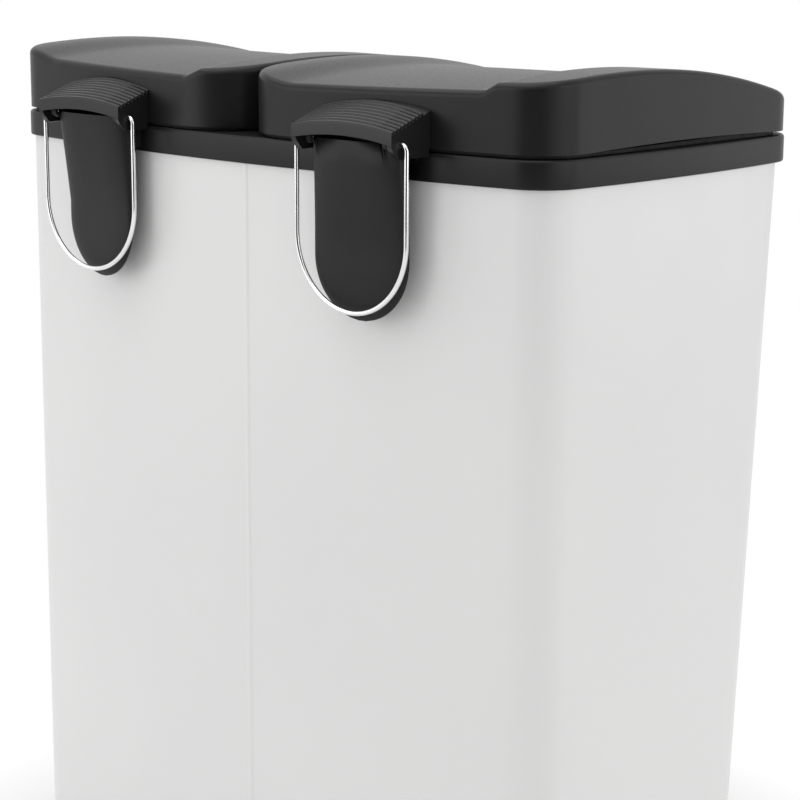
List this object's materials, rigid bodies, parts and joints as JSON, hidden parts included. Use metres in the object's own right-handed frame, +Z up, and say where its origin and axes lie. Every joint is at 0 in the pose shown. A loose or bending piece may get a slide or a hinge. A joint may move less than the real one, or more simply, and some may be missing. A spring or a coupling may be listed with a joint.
{
  "type": "double pedal recycling bin",
  "caption": "Free-standing sheet-clad recycling bin with twin lift-out buckets under arched hinged lids, each raised by its own pedal, with crowned hinge brackets and wire bails at the rear.",
  "frame": {"origin": "on the floor, under the centre of the whole bin's box", "axes": "+Z up, -Y towards the pedals at the front, +Y towards the hinges at the rear, +X to the right as seen from the front"},
  "size_m": [0.5352, 0.3434, 0.6497],
  "materials": {
    "white_sheet": "semi-gloss enamel",
    "black_plastic": "fine satin moulded",
    "grey_plastic": "satin moulded",
    "rubber": "matt",
    "seal_rubber": "matt",
    "bright_wire": "bright plated",
    "zinc_steel": "zinc plated"
  },
  "bodies": {
    "bin": {"outer_sleeve": "white_sheet", "rim_collar": "black_plastic", "base": "black_plastic", "foot_front_left": "rubber", "foot_front_right": "rubber", "foot_rear_left": "rubber", "foot_rear_right": "rubber", "bucket_left": "grey_plastic", "bucket_right": "grey_plastic", "hinge_bracket_left": "black_plastic", "hinge_bracket_right": "black_plastic", "bracket_screw_inner_left": "zinc_steel", "bracket_screw_inner_right": "zinc_steel", "bracket_screw_outer_left": "zinc_steel", "bracket_screw_outer_right": "zinc_steel", "rod_guide_left": "black_plastic", "rod_guide_right": "black_plastic", "pedal_pin_left": "zinc_steel", "pedal_pin_right": "zinc_steel"},
    "lid_left": {"lid_left": "black_plastic", "lid_liner_left": "seal_rubber", "hinge_cap_left": "black_plastic", "cap_screw_inner_left": "zinc_steel", "cap_screw_outer_left": "zinc_steel"},
    "bail_left": {"bail_left": "bright_wire"},
    "rod_left": {"push_rod_left": "zinc_steel"},
    "pedal_left": {"pedal_lever_left": "zinc_steel", "pedal_tread_left": "black_plastic"},
    "lid_right": {"lid_right": "black_plastic", "lid_liner_right": "seal_rubber", "hinge_cap_right": "black_plastic", "cap_screw_inner_right": "zinc_steel", "cap_screw_outer_right": "zinc_steel"},
    "bail_right": {"bail_right": "bright_wire"},
    "rod_right": {"push_rod_right": "zinc_steel"},
    "pedal_right": {"pedal_lever_right": "zinc_steel", "pedal_tread_right": "black_plastic"}
  },
  "joints": [
    {"name": "lid_left_hinge", "type": "hinge", "parent": "bin", "child": "lid_left", "pos_m": [-0.13, 0.16239, 0.6044], "axis": [-1, 0, 0], "range_deg": [0, 75]},
    {"name": "bail_left_swing", "type": "hinge", "parent": "bin", "child": "bail_left", "pos_m": [-0.13, 0.16239, 0.6044], "axis": [1, 0, 0], "range_deg": [0, 130]},
    {"name": "rod_left_lift", "type": "slide", "parent": "bin", "child": "rod_left", "axis": [0, 0, 1], "range_m": [0, 0.0396]},
    {"name": "pedal_left_press", "type": "hinge", "parent": "bin", "child": "pedal_left", "pos_m": [-0.13, -0.0496, 0.036], "axis": [1, 0, 0], "range_deg": [0, 12.5]},
    {"name": "lid_right_hinge", "type": "hinge", "parent": "bin", "child": "lid_right", "pos_m": [0.13, 0.16239, 0.6044], "axis": [-1, 0, 0], "range_deg": [0, 75]},
    {"name": "bail_right_swing", "type": "hinge", "parent": "bin", "child": "bail_right", "pos_m": [0.13, 0.16239, 0.6044], "axis": [1, 0, 0], "range_deg": [0, 130]},
    {"name": "rod_right_lift", "type": "slide", "parent": "bin", "child": "rod_right", "axis": [0, 0, 1], "range_m": [0, 0.0396]},
    {"name": "pedal_right_press", "type": "hinge", "parent": "bin", "child": "pedal_right", "pos_m": [0.13, -0.0496, 0.036], "axis": [1, 0, 0], "range_deg": [0, 12.5]}
  ],
  "couplings": [
    {"joint": "rod_left_lift", "follows": "lid_left_hinge", "m_per_rad": 0.0302},
    {"joint": "pedal_left_press", "follows": "lid_left_hinge", "ratio": 0.16613},
    {"joint": "rod_right_lift", "follows": "lid_right_hinge", "m_per_rad": 0.0302},
    {"joint": "pedal_right_press", "follows": "lid_right_hinge", "ratio": 0.16613}
  ]
}
